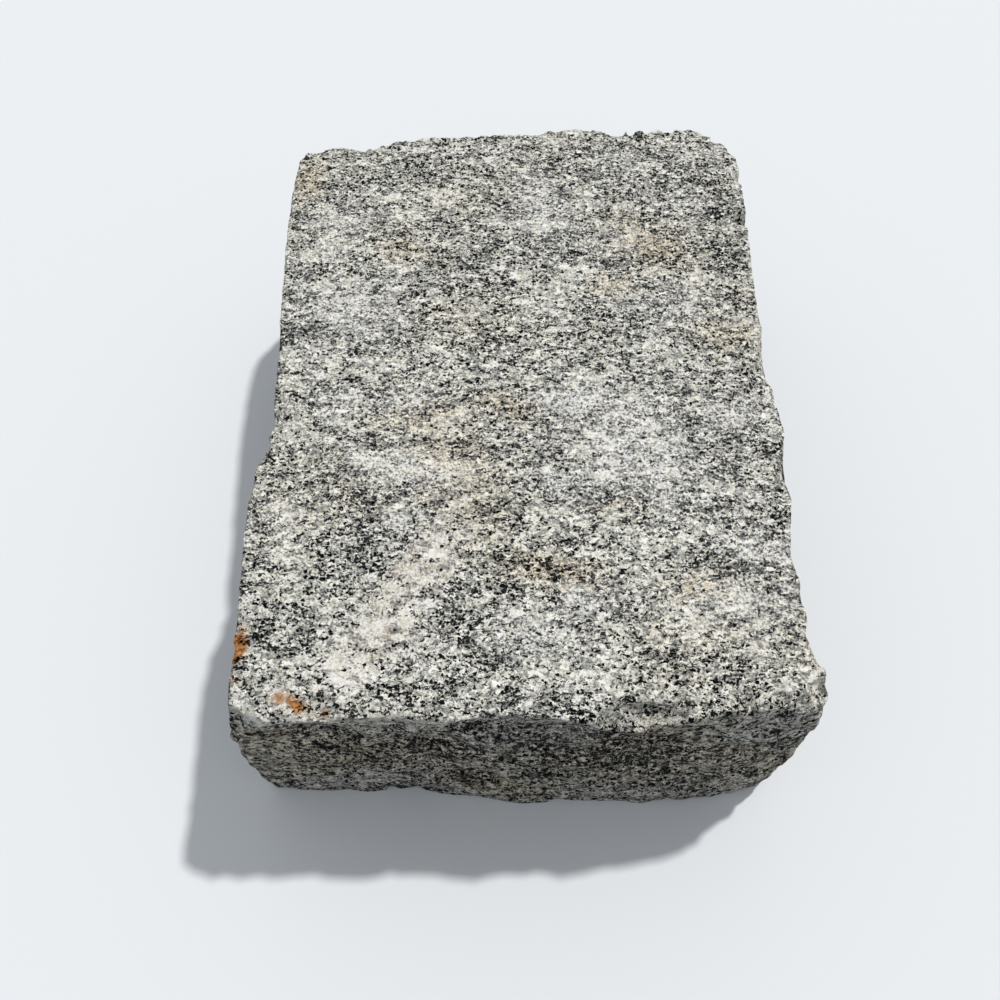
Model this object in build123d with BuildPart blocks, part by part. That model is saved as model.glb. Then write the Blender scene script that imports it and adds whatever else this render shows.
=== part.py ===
"""A granite belgian block: one rough split paving stone, lying on its bed face.

The stone is split on all six sides, so its plan is a rectangle whose four sides wander by a few
millimetres, its side faces lean out towards the bed, and its arrises and corners are chipped.
Millimetres. +X runs across the stone, +Y along it and +Z up from the bed to the head. The origin
is the middle of the bed.
"""

import math
import os
from collections import namedtuple

from build123d import *

# The head is the face that is walked on, and the bed the one that the stone rests on
head_width = 185.2
head_length = 254.8
bed_width = 195.6
bed_length = 257.6
block_height = 101.6

# The stone is widest below its shoulder, at this share of the height
shoulder = 0.7

# Each split face, as it goes round anticlockwise. A row says how far inside the rectangle the face
# lies at even stations along it, at the bed, the shoulder and the head. Below zero it bulges out.
SplitFace = namedtuple("SplitFace", "bed shoulder head")
split_faces = {
    "front": SplitFace(
        bed=(5.8, 5.4, 5.2, 2.4, 0.9, 1.7, 0.6, 1.6, 5.8),
        shoulder=(5.0, 4.2, 5.4, 4.6, 3.0, 1.2, 1.0, 4.6, 8.0),
        head=(2.4, 2.5, 3.7, 2.6, 4.2, 1.8, 2.2, 5.7, 8.6),
    ),
    "right": SplitFace(
        bed=(1.4, 1.0, 2.2, 4.4, 5.2, 3.4, 1.6, 2.8, 4.6, 3.6, 5.4),
        shoulder=(-3.2, -0.2, 2.2, 1.4, 0.2, 1.8, 2.6, 0.8, -0.4, 1.0, 2.2),
        head=(-0.6, 4.6, 3.9, 1.8, 1.0, 3.0, 3.4, 3.7, 3.0, 2.3, 3.0),
    ),
    "back": SplitFace(
        bed=(4.6, 6.0, 3.2, 1.2, 2.4, 4.0, 6.6, 9.4),
        shoulder=(2.2, 1.0, -0.6, 0.8, 3.2, 4.4, 7.2, 9.6),
        head=(1.0, 0.0, 0.8, 2.8, 5.0, 5.8, 9.5, 11.4),
    ),
    "left": SplitFace(
        bed=(5.6, 3.4, 1.2, 0.6, 2.2, 4.4, 3.6, 1.8, 2.6, 1.6, 0.6),
        shoulder=(1.0, 0.2, 1.2, 2.4, 2.6, 1.4, -0.4, -1.0, 0.2, -0.4, -1.4),
        head=(2.6, 1.6, 1.7, 2.6, 4.0, 4.6, 2.2, 0.5, 1.0, 1.4, 1.6),
    ),
}
face_order = tuple(split_faces)

# How far the corners are broken off along their sides, at the bed and at the head, from the front
# left one anticlockwise
CornerBreak = namedtuple("CornerBreak", "bed head")
corner_breaks = {
    "front left": CornerBreak(3.0, 3.0),
    "front right": CornerBreak(6.0, 4.0),
    "back right": CornerBreak(15.0, 17.0),
    "back left": CornerBreak(9.0, 9.0),
}
corner_order = tuple(corner_breaks)

# How far a broken corner bulges from a straight cut towards a sharp corner, as a share
corner_fullness = 0.55

# The arrises are rubbed and chipped back a little all round
head_arris = 1.6
bed_arris = 1.8

# Shallow flake scars: the face they are on, their place along it and up it as shares, and their
# width and depth. One that is centred above the head takes a bite out of the arris.
FlakeScar = namedtuple("FlakeScar", "face along up width depth")
flake_scars = (
    FlakeScar("front", 0.13, 0.72, 44.0, 2.8),
    FlakeScar("front", 0.32, 0.70, 30.0, 2.6),
    FlakeScar("front", 0.42, 0.88, 23.0, 2.2),
    FlakeScar("front", 0.54, 0.89, 21.0, 2.0),
    FlakeScar("front", 0.86, 0.66, 60.0, 2.0),
    FlakeScar("right", 0.13, 0.93, 34.0, 1.8),
    FlakeScar("right", 0.30, 0.34, 90.0, 3.4),
    FlakeScar("right", 0.35, 1.04, 24.0, 2.2),
    FlakeScar("right", 0.555, 1.08, 26.0, 3.2),
    FlakeScar("right", 0.80, 0.55, 84.0, 3.0),
    FlakeScar("back", 0.22, 0.92, 44.0, 2.4),
    FlakeScar("back", 0.54, 0.42, 96.0, 3.4),
    FlakeScar("left", 0.24, 0.60, 88.0, 3.0),
    FlakeScar("left", 0.55, 0.97, 30.0, 2.2),
    FlakeScar("left", 0.72, 0.28, 80.0, 3.4),
)

# Corners that a piece has come off: how far the break runs along the face before the corner and
# the one after it, and how far down from the head or up from the bed
CornerChip = namedtuple("CornerChip", "corner end before after depth")
corner_chips = (
    CornerChip("front left", "head", 8.0, 16.0, 26.0),
    CornerChip("front right", "head", 12.0, 7.0, 9.0),
    CornerChip("front right", "bed", 8.0, 12.0, 8.0),
    CornerChip("back right", "bed", 22.0, 26.0, 16.0),
    CornerChip("back left", "bed", 20.0, 17.0, 18.0),
)

# The spall on the front arris, where a piece has come off the head and left a sloping ledge
spall_along = 0.70
spall_width = 27.0
spall_reach = 6.4
spall_step = 2.6
spall_slope = 45.0
spall_taper = 20.0


def between(low, high, share):
    """The value a share of the way from low to high."""
    return low + (high - low) * share


def share_of_height(level):
    """How far up the stone the bed, the shoulder or the head is, as a share."""
    return {"bed": 0.0, "shoulder": shoulder, "head": 1.0}[level]


def sharp_corner(number, level):
    """Where two split faces would meet if the corner between them were sharp, and the directions
    from there along the face before it and the one after it."""
    share = share_of_height(level)
    x = between(bed_width, head_width, share) / 2
    y = between(bed_length, head_length, share) / 2
    corner = Vector(*[(-x, -y), (x, -y), (x, y), (-x, y)][number])
    to_next = Vector(*[(1, 0), (0, 1), (-1, 0), (0, -1)][number])
    to_last = Vector(*[(0, 1), (-1, 0), (0, -1), (1, 0)][number])
    last_inset = getattr(split_faces[face_order[number - 1]], level)[-1]
    next_inset = getattr(split_faces[face_order[number]], level)[0]
    return corner + to_next * last_inset + to_last * next_inset, to_last, to_next


def face_points(face, level, setback=0.0):
    """Points along a split face at a level, one for each station."""
    number = face_order.index(face)
    following = (number + 1) % 4
    share = share_of_height(level)
    insets = getattr(split_faces[face], level)
    corner, inward, along = sharp_corner(number, level)
    far_corner = sharp_corner(following, level)[0]
    start_break = between(*corner_breaks[corner_order[number]], share) + setback
    end_break = between(*corner_breaks[corner_order[following]], share) + setback
    length = (far_corner - corner).dot(along) - start_break - end_break
    step = along * (length / (len(insets) - 1))
    start = corner + along * start_break
    return [
        start + step * station + inward * (inset - insets[0] + setback)
        for station, inset in enumerate(insets)
    ]


def face_place(face, along, up):
    """The place on a split face at shares along it and up it, as a plane that faces outward."""
    low, high = ("bed", "shoulder") if up < shoulder else ("shoulder", "head")
    rows = [face_points(face, low), face_points(face, high)]
    station, part_way = divmod(along * (len(rows[0]) - 1), 1)
    station = int(station)
    lower, upper = [between(row[station], row[station + 1], part_way) for row in rows]
    share = (up - share_of_height(low)) / (share_of_height(high) - share_of_height(low))
    place = between(lower, upper, share) + Vector(0, 0, up * block_height)
    number = face_order.index(face)
    direction = sharp_corner(number, "head")[2]
    return Plane(place, x_dir=direction, z_dir=direction.cross(Vector(0, 0, 1)))


def chip_plane(chip):
    """The plane of a broken corner, which faces out of the stone."""
    corner, to_last, to_next = sharp_corner(corner_order.index(chip.corner), chip.end)
    corner += Vector(0, 0, share_of_height(chip.end) * block_height)
    before = corner + to_last * chip.before
    after = corner + to_next * chip.after
    below = corner + Vector(0, 0, chip.depth if chip.end == "bed" else -chip.depth)
    facing = (after - before).cross(below - before)
    if facing.dot(corner - before) < 0:
        facing = -facing
    return Plane((before + after + below) / 3, x_dir=after - before, z_dir=facing)


def outline(level, z, setback=0.0):
    """The outline of the stone at a level, set back by a little and drawn at a height."""
    rows = [face_points(face, level, setback) for face in face_order]
    with BuildSketch(Plane.XY.offset(z)) as section:
        with BuildLine():
            for number, row in enumerate(rows):
                end = row[-1]
                start = rows[(number + 1) % 4][0]
                along = sharp_corner(number, level)[2]
                elbow = end + along * (start - end).dot(along)
                Spline(*row)
                Bezier(end, between((end + start) / 2, elbow, corner_fullness), start)
        make_face()
    return section.sketch.face()


with BuildPart() as stone:
    # The split faces, drawn through the outlines above the bed, at the shoulder and below the head
    bed_outline = outline("bed", bed_arris)
    head_outline = outline("head", block_height - head_arris)
    loft([bed_outline, outline("shoulder", shoulder * block_height), head_outline])

    # The broken arrises of the bed and the head
    loft([outline("bed", 0, setback=bed_arris), bed_outline], ruled=True)
    loft([head_outline, outline("head", block_height, setback=head_arris)], ruled=True)

    # The broken corners
    for chip in corner_chips:
        split(bisect_by=chip_plane(chip), keep=Keep.BOTTOM)

    # The flake scars are shallow scoops, so each is part of a sphere
    for scar in flake_scars:
        radius = (scar.width**2 / 4 + scar.depth**2) / (2 * scar.depth)
        with Locations(face_place(scar.face, scar.along, scar.up).offset(radius - scar.depth)):
            Sphere(radius, mode=Mode.SUBTRACT)

    # The spall steps down from the head and then slopes out through the front face
    spall = face_place("front", spall_along, 1.0)
    with BuildSketch(Plane(spall.origin, x_dir=spall.z_dir, z_dir=-spall.x_dir)):
        run = 3 * spall_reach
        drop = spall_step + (run + spall_reach) * math.tan(math.radians(spall_slope))
        Polygon(
            (-spall_reach, run),
            (-spall_reach, -spall_step),
            (run, -drop),
            (run, run),
            align=None,
        )
    extrude(amount=spall_width / 2, both=True, taper=spall_taper, mode=Mode.SUBTRACT)

# The origin goes to the middle of the bed
middle = stone.part.bounding_box().center()
with BuildPart() as block:
    with Locations((-middle.X, -middle.Y)):
        add(stone.part)

block.part.label = "block"
os.makedirs("parts", exist_ok=True)
export_step(block.part, "parts/block.step")
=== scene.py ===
"""A granite belgian block, dressed for looks around its CAD solid.

The block's surface is one closed grid, worked out with numpy from the outlines, chips and scars of
the solid, with the relief of split granite added. Comments say where a size isn't the solid's.
Lengths are in millimetres up to the point where a mesh or a scene object is made, and in metres
from there on.
"""

import itertools
import math
from collections import namedtuple

import bpy
import numpy as np
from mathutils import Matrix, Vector


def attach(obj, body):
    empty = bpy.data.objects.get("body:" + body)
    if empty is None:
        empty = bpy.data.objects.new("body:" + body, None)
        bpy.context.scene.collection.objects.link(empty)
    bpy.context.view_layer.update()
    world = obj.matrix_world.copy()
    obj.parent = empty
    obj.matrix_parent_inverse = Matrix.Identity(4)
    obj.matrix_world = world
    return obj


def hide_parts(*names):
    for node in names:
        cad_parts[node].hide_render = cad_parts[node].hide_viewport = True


MM = 0.001

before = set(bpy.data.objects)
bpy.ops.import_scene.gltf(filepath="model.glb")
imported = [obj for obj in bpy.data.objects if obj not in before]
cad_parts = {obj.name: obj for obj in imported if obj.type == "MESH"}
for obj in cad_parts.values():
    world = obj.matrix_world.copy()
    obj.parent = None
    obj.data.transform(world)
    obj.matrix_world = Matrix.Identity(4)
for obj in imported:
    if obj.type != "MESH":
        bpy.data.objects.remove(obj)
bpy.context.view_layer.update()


# The block's sizes, as in its solid
head_size = np.array((185.2, 254.8))
bed_size = np.array((195.6, 257.6))
block_height = 101.6
shoulder = 0.7

# The middle of the bed, which is the origin, from where the rectangle of the head is centred
bed_middle = np.array((0.09, -0.3, 0.0))

# How far inside the faces the core box lies from which the outward directions fan out
core_margin = 22.0

# Cells of the surface's grid from left to right, front to back and bed to head, of about 1.4 mm
lattice_cells = (136, 182, 73)

# How much closer the grid's points lie at the arrises: 0 is not at all, and at 1 they would meet
arris_squeeze = 0.3

# The split faces, going round anticlockwise from the front. Each has its direction outward, and
# how far inside the rectangle it lies at even stations along it, at the bed, shoulder and head.
# At the second station of its head the right face is 3.4 mm fuller here than in the solid, and at
# the third 1 mm less full.
SplitFace = namedtuple("SplitFace", "outward bed shoulder head")
split_faces = {
    "front": SplitFace(
        outward=(0, -1, 0),
        bed=(5.8, 5.4, 5.2, 2.4, 0.9, 1.7, 0.6, 1.6, 5.8),
        shoulder=(5.0, 4.2, 5.4, 4.6, 3.0, 1.2, 1.0, 4.6, 8.0),
        head=(2.4, 2.5, 3.7, 2.6, 4.2, 1.8, 2.2, 5.7, 8.6),
    ),
    "right": SplitFace(
        outward=(1, 0, 0),
        bed=(1.4, 1.0, 2.2, 4.4, 5.2, 3.4, 1.6, 2.8, 4.6, 3.6, 5.4),
        shoulder=(-3.2, -0.2, 2.2, 1.4, 0.2, 1.8, 2.6, 0.8, -0.4, 1.0, 2.2),
        head=(-0.6, 1.2, 4.9, 1.8, 1.0, 3.0, 3.4, 3.7, 3.0, 2.3, 3.0),
    ),
    "back": SplitFace(
        outward=(0, 1, 0),
        bed=(4.6, 6.0, 3.2, 1.2, 2.4, 4.0, 6.6, 9.4),
        shoulder=(2.2, 1.0, -0.6, 0.8, 3.2, 4.4, 7.2, 9.6),
        head=(1.0, 0.0, 0.8, 2.8, 5.0, 5.8, 9.5, 11.4),
    ),
    "left": SplitFace(
        outward=(-1, 0, 0),
        bed=(5.6, 3.4, 1.2, 0.6, 2.2, 4.4, 3.6, 1.8, 2.6, 1.6, 0.6),
        shoulder=(1.0, 0.2, 1.2, 2.4, 2.6, 1.4, -0.4, -1.0, 0.2, -0.4, -1.4),
        head=(2.6, 1.6, 1.7, 2.6, 4.0, 4.6, 2.2, 0.5, 1.0, 1.4, 1.6),
    ),
}
face_order = tuple(split_faces)

# How far each corner is broken off along its sides at the bed and at the head
corner_breaks = {
    "front left": (3.0, 3.0),
    "front right": (6.0, 4.0),
    "back right": (15.0, 17.0),
    "back left": (9.0, 9.0),
}
corner_order = tuple(corner_breaks)

# A broken corner is between a straight cut, which has a power of 1, and a round, which has 2
corner_power = 1.54

# Shallow scoops that flakes have left. One that is centred above the head bites the arris.
FlakeScar = namedtuple("FlakeScar", "face along up width depth")
flake_scars = (
    FlakeScar("front", 0.13, 0.72, 44.0, 2.8),
    FlakeScar("front", 0.32, 0.70, 30.0, 2.6),
    FlakeScar("front", 0.42, 0.88, 23.0, 2.2),
    FlakeScar("front", 0.54, 0.89, 21.0, 2.0),
    FlakeScar("front", 0.86, 0.66, 60.0, 2.0),
    FlakeScar("right", 0.13, 0.93, 34.0, 1.8),
    FlakeScar("right", 0.30, 0.34, 90.0, 3.4),
    FlakeScar("right", 0.35, 1.04, 24.0, 2.2),
    FlakeScar("right", 0.555, 1.08, 26.0, 3.2),
    FlakeScar("right", 0.80, 0.55, 84.0, 3.0),
    FlakeScar("back", 0.22, 0.92, 44.0, 2.4),
    FlakeScar("back", 0.54, 0.42, 96.0, 3.4),
    FlakeScar("left", 0.24, 0.60, 88.0, 3.0),
    FlakeScar("left", 0.55, 0.97, 30.0, 2.2),
    FlakeScar("left", 0.72, 0.28, 80.0, 3.4),
)

# Corners that a piece has come off: how far the break runs along the face before the corner and
# the one after it, and how far down from the head or up from the bed. The first is smaller here
# than in the solid, where it runs 8 and 16 mm.
CornerChip = namedtuple("CornerChip", "corner end before after depth")
corner_chips = (
    CornerChip("front left", "head", 4.5, 13.0, 26.0),
    CornerChip("front right", "head", 12.0, 7.0, 9.0),
    CornerChip("front right", "bed", 8.0, 12.0, 8.0),
    CornerChip("back right", "bed", 22.0, 26.0, 16.0),
    CornerChip("back left", "bed", 20.0, 17.0, 18.0),
)

# The spall on the front arris, where a piece has come off the head and left a sloping ledge. It is
# a little larger here than in the solid, because the relief fills a part of it.
spall_along = 0.70
spall_width = 30.0
spall_reach = 6.8
spall_step = 3.4
spall_slope = 45.0

# The small chips along the arrises: the narrowest, the power that makes wide ones rarer, their
# depths as shares of their widths, and how far they turn to one side
narrowest_chip = 2.5
chip_rarity = 2.4
chip_depths = (0.06, 0.14)
chip_turn = 0.4


# Numpy helpers

# A noise's random values lie in a table, over which three primes scatter its lattice's corners
noise_values = 8192
corner_primes = (73856093, 19349663, 83492791)


def between(low, high, share):
    """The value a share of the way from low to high."""
    return low + (high - low) * share


def along_stations(values, share):
    """The Catmull-Rom curve through evenly spaced values: between two stations it is the cubic
    whose slope at each of them is half the step between that station's two neighbours."""
    values = np.asarray(values)
    before = 2 * values[0] - values[1]
    after = 2 * values[-1] - values[-2]
    padded = np.concatenate([[before], values, [after]])
    place = np.clip(share, 0, 1) * (len(values) - 1)
    station = np.minimum(place.astype(int), len(values) - 2)
    t = place - station
    p0, p1, p2, p3 = (padded[station + k] for k in range(4))
    bend = 2 * p0 - 5 * p1 + 4 * p2 - p3 + t * (3 * (p1 - p2) + p3 - p0)
    return p1 + t / 2 * (p2 - p0 + t * bend)


def random_turn(rng):
    """A turn in a random direction, so that the lattice of a noise doesn't line up with a face."""
    turn, _ = np.linalg.qr(rng.normal(size=(3, 3)))
    return turn


def value_noise(points, size, seed, faceted=False):
    """Random values from -1 to 1 at the corners of a lattice of cubes, blended across each cube:
    smoothly, or in straight lines, which leaves flat facets with creases between them."""
    rng = np.random.default_rng(seed)
    grid = points @ random_turn(rng) / size
    table = rng.uniform(-1, 1, noise_values)
    cell = np.floor(grid).astype(np.int64)
    t = grid - cell
    if not faceted:
        t = t * t * (3 - 2 * t)
    total = np.zeros(len(points))
    for corner in itertools.product((0, 1), repeat=3):
        x, y, z = ((cell + corner) * corner_primes).T
        key = (x ^ y ^ z) % noise_values
        total += table[key] * np.prod(np.where(corner, t, 1 - t), axis=1)
    return total


def soft_step(low, high, value):
    """Rises from 0 at low to 1 at high, level at both ends."""
    t = np.clip((value - low) / (high - low), 0, 1)
    return t * t * (3 - 2 * t)


# The body between the split faces


def closer_at_ends(share):
    """Moves even shares towards both ends: the share less a sine wave. Arrises get more points."""
    return share - arris_squeeze * np.sin(2 * math.pi * share) / (2 * math.pi)


def box_lattice(nx, ny, nz):
    """The outside of a lattice of nx by ny by nz cells. Each of the six sides is a grid of two
    parameters, and sides share the points on their common edges. Gives the points, as shares of
    each axis from 0 to 1, and the quads, which face outward."""
    spans = np.array((nx, ny, nz))
    strides = np.array(((ny + 1) * (nz + 1), nz + 1, 1))
    sides = []
    for axis, (u, v) in enumerate(((1, 2), (0, 2), (0, 1))):
        corner = np.zeros((spans[u], spans[v], 4, 3), int)
        corner[..., u] = np.arange(spans[u])[:, None, None] + np.array((0, 1, 1, 0))
        corner[..., v] = np.arange(spans[v])[None, :, None] + np.array((0, 0, 1, 1))
        for end in (0, spans[axis]):
            corner[..., axis] = end
            side = (corner @ strides).reshape(-1, 4)
            faces_out = (end > 0) == (axis != 1)
            sides.append(side if faces_out else side[:, ::-1])
    keys, quads = np.unique(np.concatenate(sides), return_inverse=True)
    steps = np.stack([keys // strides[0], keys // strides[1] % (ny + 1), keys % (nz + 1)], 1)
    return steps / spans, quads.reshape(-1, 4)


def face_inset(name, share, up):
    """How far inside the rectangle a split face lies: along it the curve through its stations, and
    up it the parabola through its three rows."""
    face = split_faces[name]
    bed = along_stations(face.bed, share)
    middle = along_stations(face.shoulder, share)
    head = along_stations(face.head, share)
    return (
        bed * (up - shoulder) * (up - 1) / shoulder
        + middle * up * (up - 1) / (shoulder * (shoulder - 1))
        + head * up * (up - shoulder) / (1 - shoulder)
    )


def press_corner(x, y, centre, reach, out_x, out_y):
    """Presses the square corner of the lattice to the curve |p|^n + |q|^n = 1, where p and q are
    the shares of the reach from the corner's centre."""
    p = np.maximum(out_x * x - centre[0], 0) / reach
    q = np.maximum(out_y * y - centre[1], 0) / reach
    in_corner = (p > 0) & (q > 0)
    norm = (p**corner_power + q**corner_power) ** (1 / corner_power)
    press = np.maximum(p, q) / np.where(in_corner, norm, 1)
    pressed_x = out_x * (centre[0] + p * press * reach)
    pressed_y = out_y * (centre[1] + q * press * reach)
    return np.where(in_corner, pressed_x, x), np.where(in_corner, pressed_y, y)


def face_run(number, up):
    """The side of the rectangle that a split face follows, measured from the corner before it:
    where the face's sharp corners lie, and where its first and last stations do."""
    following = (number + 1) % 4
    length = between(bed_size[number % 2], head_size[number % 2], up)
    first_corner = face_inset(face_order[number - 1], np.ones_like(up), up)
    last_corner = length - face_inset(face_order[following], np.zeros_like(up), up)
    first_station = first_corner + between(*corner_breaks[corner_order[number]], up)
    last_station = last_corner - between(*corner_breaks[corner_order[following]], up)
    return first_corner, last_corner, first_station, last_station


def stone_body(shares):
    """Stretches the lattice between the four split faces. At each height, x runs from the left
    face to the right one and y from the front to the back, in proportion to the shares."""
    a, b, up = shares.T
    half_x, half_y = between(bed_size[:, None], head_size[:, None], up) / 2
    insets = []
    for number, share in enumerate((a, b, 1 - a, 1 - b)):
        first_corner, last_corner, first_station, last_station = face_run(number, up)
        place = between(first_corner, last_corner, share)
        along = (place - first_station) / (last_station - first_station)
        insets.append(face_inset(face_order[number], along, up))
    front, right, back, left = insets
    x = between(left - half_x, half_x - right, a)
    y = between(front - half_y, half_y - back, b)

    corners = ((-1, -1, left, front), (1, -1, right, front), (1, 1, right, back), (-1, 1, left, back))
    for name, (out_x, out_y, x_inset, y_inset) in zip(corner_order, corners):
        reach = between(*corner_breaks[name], up)
        centre = (half_x - x_inset - reach, half_y - y_inset - reach)
        x, y = press_corner(x, y, centre, reach, out_x, out_y)
    return np.stack([x, y, up * block_height], 1)


def ways_out(points):
    """The outward direction at each point: away from the nearest point of a core box inside the
    block. It is square to the faces and fans out round arrises and corners."""
    core = np.array((*(head_size / 2 - core_margin), block_height / 2 - core_margin))
    centred = points - (0, 0, block_height / 2)
    out = centred - np.clip(centred, -core, core)
    return out / np.linalg.norm(out, axis=1)[:, None]


# What has come off the body


def face_place(name, along, up):
    """The point on a split face at shares along it and up it, and the face's outward direction."""
    outward = np.array(split_faces[name].outward, float)
    forward = np.array((-outward[1], outward[0], 0))
    half = np.append(between(bed_size, head_size, up) / 2, 0)
    height = np.array([up])
    inset = face_inset(name, np.array([along]), height)
    _, _, first_station, last_station = face_run(face_order.index(name), height)
    run = between(first_station, last_station, along)
    place = outward * (half - inset) + forward * (run - half)
    return place + (0, 0, up * block_height), outward


def scoop(points, out, place, facing, width, depth):
    """Presses what lies inside a sphere inward onto its far wall, along the way out. The sphere
    makes a dish of the given width and depth in a flat face. The point p - t*out is on it for the
    larger root of its quadratic in t."""
    radius = (width**2 / 4 + depth**2) / (2 * depth)
    near = np.flatnonzero(np.abs(points - place).max(axis=1) < width)
    offset = points[near] - place - facing * (radius - depth)
    towards = np.sum(offset * out[near], axis=1)
    inside = radius**2 - np.sum(offset**2, axis=1)
    root = towards + np.sqrt(np.maximum(towards**2 + inside, 0))
    press = np.where(inside > 0, np.maximum(root, 0), 0)
    points[near] -= out[near] * press[:, None]


def slice_off(points, out, corner, facing, least_cosine=0.25):
    """Presses what lies beyond a plane inward onto it, along the way out. Where that way is nearly
    along the plane, its cosine counts as the least one, so that no point slides far."""
    beyond = np.maximum((points - corner) @ facing, 0)
    points -= out * (beyond / np.maximum(out @ facing, least_cosine))[:, None]


def sharp_corner(number, end):
    """Where two split faces would meet at the bed or the head if the corner between them were
    sharp, and the directions from there along the face before it and the one after it."""
    before = split_faces[face_order[number - 1]]
    after = split_faces[face_order[number]]
    to_last = -np.array(after.outward, float)
    to_next = -np.array(before.outward, float)
    half = np.append((bed_size if end == "bed" else head_size) / 2, 0)
    corner = -(to_last + to_next) * half
    corner += to_next * getattr(before, end)[-1] + to_last * getattr(after, end)[0]
    corner[2] = 0 if end == "bed" else block_height
    return corner, to_last, to_next


def break_corner(points, out, chip):
    """Slices off a corner by the plane through the three points at which the break ends."""
    corner, to_last, to_next = sharp_corner(corner_order.index(chip.corner), chip.end)
    before = corner + to_last * chip.before
    after = corner + to_next * chip.after
    below = corner + (0, 0, chip.depth if chip.end == "bed" else -chip.depth)
    facing = np.cross(after - before, below - before)
    facing *= np.sign(facing @ (corner - before)) / np.linalg.norm(facing)
    slice_off(points, out, before, facing)


def break_spall(points, out, least_cosine=0.05):
    """Presses the spall down to a low wall under the head and a ledge that slopes out of the front
    face. Both shrink towards the spall's ends as the height of a half circle does. The ledge is
    left lumpy, because there the stone tore more than it split. The lumps rise within 3 mm of the
    wall, which leaves a crack at its foot."""
    place, facing = face_place("front", spall_along, 1.0)
    offset = points - place
    share = np.sqrt(np.maximum(1 - (2 * offset[:, 0] / spall_width) ** 2, 0))
    steepness = math.tan(math.radians(spall_slope))
    past_wall = offset @ facing + spall_reach * share

    lumps = 3.2 * np.abs(value_noise(points, size=6.5, seed=14))
    lumps += 0.6 * value_noise(points, size=3.2, seed=15)
    lumps *= soft_step(0.5, 3.0, past_wall)
    above_ledge = offset[:, 2] + (spall_step - lumps) * share + past_wall * steepness

    removed = (share > 0) & (past_wall > 0) & (above_ledge > 0)
    to_wall = past_wall / np.maximum(out @ facing, least_cosine)
    to_ledge = above_ledge / np.maximum(out[:, 2] + out @ facing * steepness, least_cosine)
    press = np.where(removed, np.minimum(to_wall, to_ledge), 0)
    points -= out * press[:, None]


def chip_arrises(points, out, edge, count, widest, seed):
    """Knocks small flakes off the arrises: dishes of random width and depth, at random points of
    an edge, which face outward and a little to one side."""
    rng = np.random.default_rng(seed)
    chosen = rng.choice(np.flatnonzero(edge), count, replace=False)
    widths = between(narrowest_chip, widest, rng.uniform(size=count) ** chip_rarity)
    depths = widths * rng.uniform(*chip_depths, count)
    facings = out[chosen] + chip_turn * rng.normal(size=(count, 3))
    facings /= np.linalg.norm(facings, axis=1)[:, None]
    for place, facing, width, depth in zip(points[chosen], facings, widths, depths):
        scoop(points, out, place, facing, width, depth)


def split_relief(points, out):
    """The unevenness of a split face: broad swells, then facets, then crystals. The mason picked
    the head for its flatness, so its swells and facets are about a fifth as high as the sides'."""
    swells = 1.0 * value_noise(points, size=36.0, seed=1)
    swells += 1.1 * value_noise(points, size=17.0, seed=2)
    facets = 1.4 * value_noise(points, size=9.0, seed=3, faceted=True)
    facets += 0.9 * value_noise(points, size=4.6, seed=4, faceted=True)
    crystals = 0.35 * value_noise(points, size=2.4, seed=5)
    flatness = soft_step(0.45, 0.7, out[:, 2])
    swells *= between(1.0, 0.22, flatness)
    facets *= between(1.0, 0.2, flatness)
    crystals *= between(1.0, 0.6, flatness)
    return swells + facets + crystals


def block_surface():
    """The whole surface: the body between its split faces, then its scars, chips and relief."""
    shares, quads = box_lattice(*lattice_cells)
    at_end = (shares == 0) | (shares == 1)
    points = stone_body(closer_at_ends(shares))
    out = ways_out(points)

    for scar in flake_scars:
        place, facing = face_place(scar.face, scar.along, scar.up)
        scoop(points, out, place, facing, scar.width, scar.depth)
    for chip in corner_chips:
        break_corner(points, out, chip)
    break_spall(points, out)

    on_side = at_end[:, 0] | at_end[:, 1]
    head_arris = on_side & (shares[:, 2] == 1)
    bed_arris = on_side & (shares[:, 2] == 0)
    upright_arris = at_end[:, 0] & at_end[:, 1]
    chip_arrises(points, out, head_arris, count=240, widest=8.0, seed=11)
    chip_arrises(points, out, bed_arris, count=90, widest=9.0, seed=12)
    chip_arrises(points, out, upright_arris, count=30, widest=6.0, seed=13)

    points += out * split_relief(points, out)[:, None]
    points[:, 2] = np.maximum(points[:, 2], 0)
    return points, quads


# Where the stone's colour changes on the head. A patch has its place, its length and width, its
# turn from the x axis in degrees, and its strength.
Patch = namedtuple("Patch", "x y length width turn strength")

# Crushed crystals, pale and a little blue, where the stone was struck
bruises = (
    Patch(9, 84, 26, 13, 105, 0.9),
    Patch(40, -28, 44, 34, -40, 0.6),
    Patch(20, -9, 22, 12, 0, 0.9),
    Patch(20, -42, 16, 12, 0, 0.5),
    Patch(60, 34, 20, 16, 0, 0.5),
    Patch(40, 66, 18, 12, 0, 0.45),
    Patch(68, -86, 34, 12, 0, 0.6),
    Patch(72, -15, 22, 11, 0, 0.55),
    Patch(-67, 34, 26, 16, 20, 0.55),
    Patch(-64, -10, 13, 8, 0, 0.7),
    Patch(-54, -34, 11, 6, -45, 1.0),
    Patch(-81, -54, 14, 10, 0, 0.45),
    Patch(10, -43, 16, 4, -60, 1.0),
    Patch(75, -68, 16, 12, 0, 0.45),
    Patch(40, 109, 16, 10, 0, 0.4),
    Patch(86, -72, 5, 12, 0, 0.9),
    Patch(-36, -39, 34, 14, -10, 0.8),
    Patch(-40, -10, 18, 10, 0, 0.5),
    Patch(-40, -56, 16, 10, 0, 0.5),
    Patch(42, 36, 18, 10, 0, 0.5),
    Patch(-60, 22, 24, 12, 0, 0.5),
    Patch(-68, 74, 26, 12, 0, 0.4),
    Patch(20, -86, 16, 12, 0, 0.6),
    Patch(2, -99, 18, 11, 0, 0.6),
)

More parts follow.
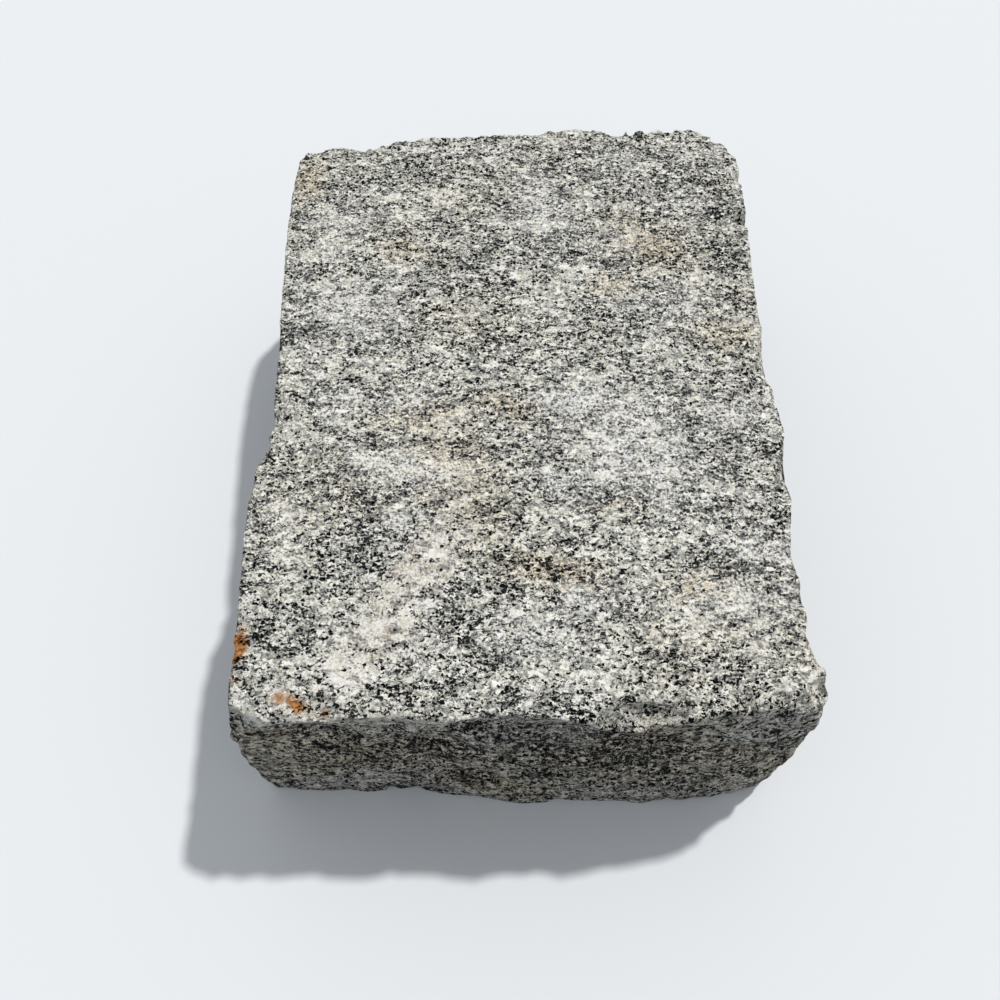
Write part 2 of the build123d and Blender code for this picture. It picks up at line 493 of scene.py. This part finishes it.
# Feldspar with a cream or a faint pink tint
cream_patches = (
    Patch(-22, -40, 50, 26, -60, 0.7),
    Patch(-35, -16, 30, 9, 15, 0.7),
    Patch(-5, -12, 26, 9, -20, 0.7),
    Patch(50, 64, 32, 18, -35, 0.9),
    Patch(75, 20, 20, 14, 0, 0.8),
    Patch(-46, 62, 24, 12, -20, 0.7),
    Patch(34, 42, 16, 11, 0, 0.7),
    Patch(8, -75, 34, 11, -12, 0.9),
    Patch(57, -82, 20, 12, 0, 0.8),
    Patch(-85, 97, 12, 20, 0, 0.9),
    Patch(33, -53, 16, 9, 0, 0.6),
)

# Dark places, where flakes of biotite crowd together
dark_patches = (
    Patch(10, -20, 24, 5, -50, 1.0),
    Patch(-25, -28, 22, 12, 0, 0.8),
    Patch(60, -26, 74, 22, 95, 1.0),
    Patch(80, 82, 80, 18, 95, 1.0),
    Patch(54, -117, 40, 12, 0, 0.7),
    Patch(3, 110, 22, 12, 0, 0.7),
    Patch(42, 112, 30, 10, 0, 0.6),
    Patch(-82, 4, 14, 20, 0, 0.6),
    Patch(-40, 34, 26, 14, 0, 0.6),
    Patch(20, 80, 22, 14, 0, 0.6),
    Patch(-80, 113, 22, 12, 0, 0.8),
    Patch(0, -84, 18, 12, 0, 0.6),
    Patch(0, -117, 24, 9, 0, 0.6),
    Patch(61, -103, 22, 12, 0, 0.6),
    Patch(82, -72, 16, 14, 0, 1.0),
    Patch(-8, -58, 20, 12, -30, 0.7),
    Patch(35, -80, 14, 12, 0, 0.6),
    Patch(-72, 96, 26, 12, 30, 0.5),
    Patch(-28, 112, 16, 12, 0, 0.7),
    Patch(81, -62, 11, 5, 0, 1.0),
    Patch(-55, -53, 10, 14, 0, 0.6),
    Patch(38, 22, 32, 16, 0, 0.8),
    Patch(17, 94, 9, 16, 0, 0.7),
)

# A vein of crystals that grew several times as large as the rest
coarse_patches = (
    Patch(-38, -84, 66, 18, 62, 1.0),
    Patch(-56, -108, 24, 16, 40, 0.8),
)

# Rust that has run from grains of iron ore at the left front corner, and one faint brown scar
rust_patches = (
    Patch(-90, -100, 5, 11, 0, 1.0),
    Patch(-70, -119.5, 8, 4, -40, 0.9),
    Patch(-75, -117.5, 4, 4, 0, 0.6),
    Patch(-61, -121.5, 3, 4, 0, 0.9),
    Patch(-89, -112, 5, 5, 0, 0.35),
    Patch(90, 11, 5, 17, 0, 0.45),
)


# How far down from the head the patches reach, and how far their ragged edges move in and out
patch_depth = 5.0
patch_raggedness = 1.6


def patch_strength(points, patches):
    """How strongly patches show at each point: each is a bell curve of the distance from its
    middle, in shares of half its length, half its width and the patches' depth. The strongest
    patch counts."""
    ragged = np.stack([value_noise(points, size=5.0, seed=seed) for seed in (21, 22)], 1)
    strength = np.zeros(len(points))
    for patch in patches:
        turn = math.radians(patch.turn)
        aside = points[:, :2] + patch_raggedness * ragged - (patch.x, patch.y)
        u = aside @ (math.cos(turn), math.sin(turn)) / (patch.length / 2)
        v = aside @ (-math.sin(turn), math.cos(turn)) / (patch.width / 2)
        w = (points[:, 2] - block_height) / patch_depth
        strength = np.maximum(strength, patch.strength * np.exp(-0.8 * (u**2 + v**2 + w**2)))
    return strength


def colour_fields(points, out):
    """What the granite is like at each point, as shares from 0 to 1, though the dark one passes 1
    on the sides, where an extra share of it is painted shade. The patches on the head are placed.
    Away from it, and faintly on it, broad noise spreads the same kinds of place."""
    off_head = 1 - soft_step(0.5, 0.72, out[:, 2])
    spread = between(0.35, 1.0, off_head)
    stretched = points * (0.6, 1.0, 1.0)
    bruised = soft_step(0.45, 0.9, value_noise(points, size=15.0, seed=31)) * 0.25 * spread
    creamy = soft_step(0.0, 0.8, value_noise(stretched, size=26.0, seed=32)) * 0.7 * spread
    biotite_and_side_shade = soft_step(-0.2, 0.6, value_noise(stretched, size=15.0, seed=33)) * spread
    # The sides get an extra share of dark flakes here, which is painted shade.
    biotite_and_side_shade += 0.35 * off_head

    # The head's arris is crushed here and there, on a strip along its upper side. The strip is a
    # bell curve of the slope, and ends 5 mm below the head.
    slope = out[:, 2] - np.hypot(out[:, 0], out[:, 1])
    strip = np.exp(-(((slope - 0.05) / 0.06) ** 2))
    strip *= soft_step(-5.0, -2.0, points[:, 2] - block_height)
    worn = 0.6 * strip * soft_step(0.1, 0.6, value_noise(points, size=5.0, seed=34))
    return {
        "bruise": np.maximum.reduce([patch_strength(points, bruises), bruised, worn]),
        "cream": np.maximum(patch_strength(points, cream_patches), creamy),
        "dark": np.maximum(patch_strength(points, dark_patches), biotite_and_side_shade),
        "coarse": patch_strength(points, coarse_patches),
        "rust": patch_strength(points, rust_patches),
        "torn": off_head,
    }


def closed_mesh(name, points, quads, fields):
    """A smooth-shaded mesh object from points in millimetres, quads and values at the points."""
    mesh = bpy.data.meshes.new(name)
    mesh.vertices.add(len(points))
    mesh.vertices.foreach_set("co", (points * MM).ravel())
    mesh.loops.add(quads.size)
    mesh.loops.foreach_set("vertex_index", quads.ravel())
    mesh.polygons.add(len(quads))
    mesh.polygons.foreach_set("loop_start", np.arange(0, quads.size, 4))
    mesh.polygons.foreach_set("use_smooth", np.ones(len(quads), bool))
    for field, values in fields.items():
        mesh.attributes.new(field, "FLOAT", "POINT").data.foreach_set("value", values)
    mesh.update(calc_edges=True)
    mesh.validate()
    piece = bpy.data.objects.new(name, mesh)
    bpy.context.collection.objects.link(piece)
    return piece


# Materials


def linear(code):
    """An sRGB hex colour as linear values, with an alpha of 1."""
    channels = [int(code[k : k + 2], 16) / 255 for k in (1, 3, 5)]
    return [c / 12.92 if c <= 0.04045 else ((c + 0.055) / 1.055) ** 2.4 for c in channels] + [1.0]


def add(tree, kind, inputs, stops=(), **settings):
    """Adds a shader node with its settings, inputs and colour stops. An input is a number, a hex
    colour, a socket, or a node, whose first output in use is then linked."""
    node = tree.nodes.new("ShaderNode" + kind)
    for name, value in settings.items():
        setattr(node, name, value)
    for name, value in inputs.items():
        if isinstance(value, bpy.types.Node):
            value = next(socket for socket in value.outputs if socket.enabled)
        if isinstance(value, bpy.types.NodeSocket):
            tree.links.new(value, node.inputs[name])
        else:
            node.inputs[name].default_value = linear(value) if isinstance(value, str) else value
    for number, (position, colour) in enumerate(stops):
        elements = node.color_ramp.elements
        element = elements[number] if number < len(elements) else elements.new(position)
        element.position = position
        element.color = linear(colour)
    return node


def empty_tree(owner):
    """The node tree of a material or world, with nothing in it."""
    owner.use_nodes = True
    owner.node_tree.nodes.clear()
    return owner.node_tree


def split_granite():
    """Grey biotite granite, split with feathers and a hammer. Its broken crystals of feldspar are
    white to cream and catch the light on their facets, its quartz is grey and glassy, and black
    flakes of biotite lie in wavy bands. Where it was struck the crystals are crushed to a pale
    dust. Scales are per millimetre, so a scale of 0.6 makes crystals of about 1.6 mm."""
    material = bpy.data.materials.new("split_granite")
    tree = empty_tree(material)
    place = add(tree, "TexCoord", {}).outputs["Object"]
    mm = add(tree, "Mapping", {"Vector": place, "Scale": (1000, 1000, 1000)})
    bruise, cream, dark, coarse, rust, torn = (
        add(tree, "Attribute", {}, attribute_name=name).outputs["Fac"]
        for name in ("bruise", "cream", "dark", "coarse", "rust", "torn")
    )
    multiply = {"data_type": "RGBA", "blend_type": "MULTIPLY"}

    # Crystals have ragged edges, so the pattern's places are shifted by about half a millimetre
    ragged = add(tree, "TexNoise", {"Vector": mm, "Scale": 0.9, "Detail": 3.0}).outputs["Color"]
    shift = add(tree, "VectorMath", {0: ragged, 1: (0.5, 0.5, 0.5)}, operation="SUBTRACT")
    spot = add(tree, "VectorMath", {0: shift, 1: (2.6, 2.6, 2.6), 2: mm}, operation="MULTIPLY_ADD")

    # Crystals of 1 to 2 mm, from grey quartz to white feldspar
    spread = add(tree, "Mapping", {"Vector": spot, "Scale": (0.62, 0.9, 0.62)})
    crystal = add(tree, "TexVoronoi", {"Vector": spread, "Scale": 1.0})
    kind = add(tree, "SeparateColor", {"Color": crystal.outputs["Color"]}).outputs
    mineral_colours = (
        (0.0, "#8F908C"),
        (0.2, "#ACACA6"),
        (0.45, "#CCCAC0"),
        (0.75, "#E4E2D8"),
        (1.0, "#F9F7EE"),
    )
    mineral = add(tree, "ValToRGB", {"Fac": kind[0]}, mineral_colours)

    # Feldspar of one growth has one tint over a centimetre or more
    creamy = add(tree, "Math", {0: cream, 1: 0.75}, operation="MULTIPLY")
    stone = add(tree, "Mix", {0: creamy, 6: mineral, 7: "#F9E9D3"}, **multiply)

    # The vein has crystals of 3 to 4 mm, cream white with quartz of a faint purple grey
    spread = add(tree, "Mapping", {"Vector": spot, "Scale": (0.24, 0.34, 0.24)})
    large = add(tree, "TexVoronoi", {"Vector": spread, "Scale": 1.0})
    large_kind = add(tree, "SeparateColor", {"Color": large.outputs["Color"]})
    large_colours = (
        (0.0, "#968F8B"),
        (0.25, "#B5AEA8"),
        (0.42, "#D4CFC4"),
        (0.8, "#E8E4DA"),
        (1.0, "#F8F6F0"),
    )
    large_mineral = add(tree, "ValToRGB", {"Fac": large_kind}, large_colours)
    uneven = add(tree, "TexNoise", {"Vector": mm, "Scale": 0.4, "Detail": 4.0})
    ragged_vein = add(tree, "Math", {0: uneven, 1: 1.1, 2: coarse}, operation="MULTIPLY_ADD")
    vein_edge = {"From Min": 0.8, "From Max": 1.15, "To Max": 0.85}
    in_vein = add(tree, "MapRange", {"Value": ragged_vein, **vein_edge})
    stone = add(tree, "Mix", {0: in_vein, 6: stone, 7: large_mineral}, data_type="RGBA")

    # Biotite crowds together in bands, about 33 mm long and 13 mm wide, and in clusters of 7 by 3 mm
    spread = add(tree, "Mapping", {"Vector": mm, "Scale": (0.03, 0.075, 0.03)})
    bands = add(tree, "TexNoise", {"Vector": spread, "Scale": 1.0, "Detail": 2.0})
    spread = add(tree, "Mapping", {"Vector": mm, "Scale": (0.14, 0.3, 0.14)})
    clusters = add(tree, "TexNoise", {"Vector": spread, "Scale": 1.0, "Detail": 2.0})
    crowd = add(tree, "Math", {0: bands, 1: 0.8, 2: clusters}, operation="MULTIPLY_ADD")
    # On the sides the dark field also holds painted shade, so more flakes crowd there.
    crowd = add(tree, "Math", {0: dark, 1: 0.2, 2: crowd}, operation="MULTIPLY_ADD")
    crowd = add(tree, "Math", {0: bruise, 1: -0.14, 2: crowd}, operation="MULTIPLY_ADD")
    crowd = add(tree, "Math", {0: in_vein, 1: -0.2, 2: crowd}, operation="MULTIPLY_ADD")
    crowd = add(tree, "Math", {0: rust, 1: -0.2, 2: crowd}, operation="MULTIPLY_ADD")
    share = add(tree, "MapRange", {"Value": crowd, "From Min": 0.64, "From Max": 1.2, "To Max": 0.78})

    # Where it lies under the surface it shows through the feldspar as a soft grey
    spread = add(tree, "Mapping", {"Vector": mm, "Scale": (0.4, 0.8, 0.35)})
    under = add(tree, "TexNoise", {"Vector": spread, "Scale": 1.0, "Detail": 3.0, "Roughness": 0.6})
    under = add(tree, "MapRange", {"Value": under, "From Min": 0.42, "From Max": 0.68, "To Max": 1.3})
    veil = add(tree, "Math", {0: under, 1: share}, operation="MULTIPLY")
    stone = add(tree, "Mix", {0: veil, 6: stone, 7: "#8B8F90"}, **multiply)

    # At the surface it is black flakes, in cells that are tallest up the stone and thinnest along
    # it: large ones in cells of 1.2 by 0.7 by 2.2 mm, and small ones in cells of half that. A cell
    # holds a flake where its random number lies below the share, and its random tint is mostly dark.
    for scale, crowding, widest, darkest, palest in (
        ((0.82, 1.35, 0.45), 1.0, 0.67, "#040505", "#2E3132"),
        ((1.6, 2.5, 0.9), 0.5, 0.62, "#050606", "#1E2021"),
    ):
        spread = add(tree, "Mapping", {"Vector": spot, "Scale": scale, "Location": (7, 3, 5)})
        flake = add(tree, "TexVoronoi", {"Vector": spread, "Scale": 1.0})
        flake_kind = add(tree, "SeparateColor", {"Color": flake.outputs["Color"]}).outputs
        chance = add(tree, "Math", {0: share, 1: crowding}, operation="MULTIPLY")
        chance = add(tree, "Math", {0: chance, 1: flake_kind[0]}, operation="SUBTRACT")
        reach = add(tree, "MapRange", {"Value": chance, "From Max": 0.08, "To Max": widest})
        inside = add(tree, "Math", {0: reach, 1: flake.outputs["Distance"]}, operation="SUBTRACT")
        is_flake = add(tree, "MapRange", {"Value": inside, "From Max": 0.1})
        pale = add(tree, "Math", {0: flake_kind[1], 1: 2.0}, operation="POWER")
        biotite = add(tree, "Mix", {0: pale, 6: darkest, 7: palest}, data_type="RGBA")
        stone = add(tree, "Mix", {0: is_flake, 6: stone, 7: biotite}, data_type="RGBA")

    # Crushed stone is pale and has lost its contrast, crystal by crystal
    fine = add(tree, "TexNoise", {"Vector": mm, "Scale": 1.1, "Detail": 3.0, "Roughness": 0.7})
    coverage = add(tree, "Math", {0: kind[1], 1: 0.35, 2: fine}, operation="MULTIPLY_ADD")
    dusty = add(tree, "MapRange", {"Value": coverage, "From Min": 0.55, "From Max": 0.8, "To Max": 0.85})
    crushed = add(tree, "Math", {0: bruise, 1: dusty}, operation="MULTIPLY")
    stone = add(tree, "Mix", {0: crushed, 6: stone, 7: "#EFEEEB"}, data_type="RGBA")

    # Painted light and shade of the cleavage steps inside each crystal. They are finer in the stone,
    # and too fine to show there.
    painted_step_light = add(tree, "ValToRGB", {"Fac": fine}, stops=((0.38, "#626262"), (0.62, "#EEEEEE")))
    stone = add(tree, "Mix", {0: 0.9, 6: stone, 7: painted_step_light}, data_type="RGBA", blend_type="OVERLAY")

    # Rust soaks into the feldspar and leaves the biotite dark
    ragged_rust = add(tree, "Math", {0: fine, 1: 2.0, 2: rust}, operation="MULTIPLY_ADD")
    rusty = add(tree, "MapRange", {"Value": ragged_rust, "From Min": 1.25, "From Max": 1.6})
    stone = add(tree, "Mix", {0: rusty, 6: stone, 7: "#D2925C"}, **multiply)

    # The sides tore as they split. Painted shade darkens their small hollows and cracks.
    lumps = add(tree, "TexNoise", {"Vector": mm, "Scale": 0.35, "Detail": 3.0})
    painted_hollow_shade = add(tree, "MapRange", {"Value": lumps, "From Min": 0.44, "From Max": 0.36, "To Max": 0.9})
    painted_hollow_shade = add(tree, "Math", {0: painted_hollow_shade, 1: torn}, operation="MULTIPLY")
    colour = add(tree, "Mix", {0: painted_hollow_shade, 6: stone, 7: "#3C3B39"}, **multiply)

    # The broken surface, in millimetres: lumps, crystals that stand out or in, and their cleavage.
    # On the sides it is twice as rough about its mean height, which is 0.7.
    height = add(tree, "Math", {0: lumps, 1: 0.9}, operation="MULTIPLY")
    height = add(tree, "Math", {0: fine, 1: 0.35, 2: height}, operation="MULTIPLY_ADD")
    height = add(tree, "Math", {0: kind[1], 1: 0.16, 2: height}, operation="MULTIPLY_ADD")
    height = add(tree, "Math", {0: height, 1: 0.7}, operation="SUBTRACT")
    rougher = add(tree, "Math", {0: torn, 1: 1.0}, operation="ADD")
    height = add(tree, "Math", {0: height, 1: rougher}, operation="MULTIPLY")
    bump = add(tree, "Bump", {"Height": height, "Strength": 1.0, "Distance": MM})

    # Broken crystals scatter their gleam even where they are seen at a slant, and the shader's
    # would turn the black flakes grey there, so its specular level is nearly nothing
    roughness = add(tree, "MapRange", {"Value": kind[2], "To Min": 0.5, "To Max": 0.9})
    finish = {"Base Color": colour, "Roughness": roughness, "Normal": bump}
    shader = add(tree, "BsdfPrincipled", {**finish, "IOR": 1.54, "Specular IOR Level": 0.01})
    add(tree, "OutputMaterial", {"Surface": shader})
    return material


def seen_directly(tree):
    """1 for rays from the camera, straight or by way of gloss or glass, and 0 for those that light
    the stone."""
    rays = add(tree, "LightPath", {}).outputs
    seen = add(tree, "Math", {0: rays["Is Camera Ray"], 1: rays["Is Glossy Ray"]}, operation="MAXIMUM")
    return add(tree, "Math", {0: seen, 1: rays["Is Transmission Ray"]}, operation="MAXIMUM")


def pale_floor():
    """A matt pale floor. The camera sees it paler than the light that it throws back at the stone,
    which is weaker, as from a studio floor that ends near the object."""
    material = bpy.data.materials.new("pale_floor")
    tree = empty_tree(material)
    paint = add(tree, "Mix", {0: seen_directly(tree), 6: "#B8BABB", 7: "#E4E7E9"}, data_type="RGBA")
    finish = {"Base Color": paint, "Roughness": 0.8, "Specular IOR Level": 0.2}
    add(tree, "OutputMaterial", {"Surface": add(tree, "BsdfPrincipled", finish)})
    return material


# The block

points, quads = block_surface()
outward = ways_out(points)
block = closed_mesh("split_block", points - bed_middle, quads, colour_fields(points, outward))
block.data.materials.append(split_granite())
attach(block, "root")
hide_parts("block")


# Floor, light and camera

floor_mesh = bpy.data.meshes.new("floor")
floor_reach = 3.0
floor_corners = [(floor_reach * x, floor_reach * y, 0) for x, y in ((-1, -1), (1, -1), (1, 1), (-1, 1))]
floor_mesh.from_pydata(floor_corners, [], [(0, 1, 2, 3)])
floor = bpy.data.objects.new("floor", floor_mesh)
bpy.context.collection.objects.link(floor)
floor_mesh.materials.append(pale_floor())


def studio_world():
    """Soft light that is strongest from overhead and a little behind the stone, so that its sides
    are lit from above. The camera sees a plain pale backdrop."""
    world = bpy.data.worlds.new("studio")
    tree = empty_tree(world)
    direction = add(tree, "TexCoord", {}).outputs["Generated"]
    brightest = (-0.15, 0.25, 0.95)
    dot = add(tree, "VectorMath", {0: direction, 1: brightest}, operation="DOT_PRODUCT")
    facing = dot.outputs["Value"]
    light = add(tree, "MapRange", {"Value": facing, "From Min": -0.4, "To Min": 0.05, "To Max": 0.72})
    strength = add(tree, "Math", {0: light, 1: seen_directly(tree)}, operation="MAXIMUM")
    background = add(tree, "Background", {"Color": "#EDF1F7", "Strength": strength})
    add(tree, "OutputWorld", {"Surface": background})
    return world


bpy.context.scene.world = studio_world()

# The key light comes from high up on the right, behind the stone. It is wider than the real sun,
# so that shadows have soft edges.
key_data = bpy.data.lights.new("key", "SUN")
key_data.energy = 2.15
key_data.angle = math.radians(2.5)
key_data.color = (1.0, 0.985, 0.96)
key = bpy.data.objects.new("key", key_data)
bpy.context.collection.objects.link(key)
towards_key = Vector((0.332, 0.287, 0.899))
key.rotation_euler = towards_key.to_track_quat("Z", "Y").to_euler()

# The camera looks down by 62 degrees, with a lens that is as long as its sensor is wide
camera_data = bpy.data.cameras.new("camera")
camera_data.lens = 36.0
camera_data.sensor_width = 36.0
camera_data.clip_start = 0.01
camera = bpy.data.objects.new("camera", camera_data)
bpy.context.collection.objects.link(camera)
camera.location = (-0.0077, -0.207, 0.3987)
camera.rotation_euler = (math.radians(28.0), 0, 0)
scene = bpy.context.scene
scene.camera = camera
scene.view_settings.view_transform = "Standard"
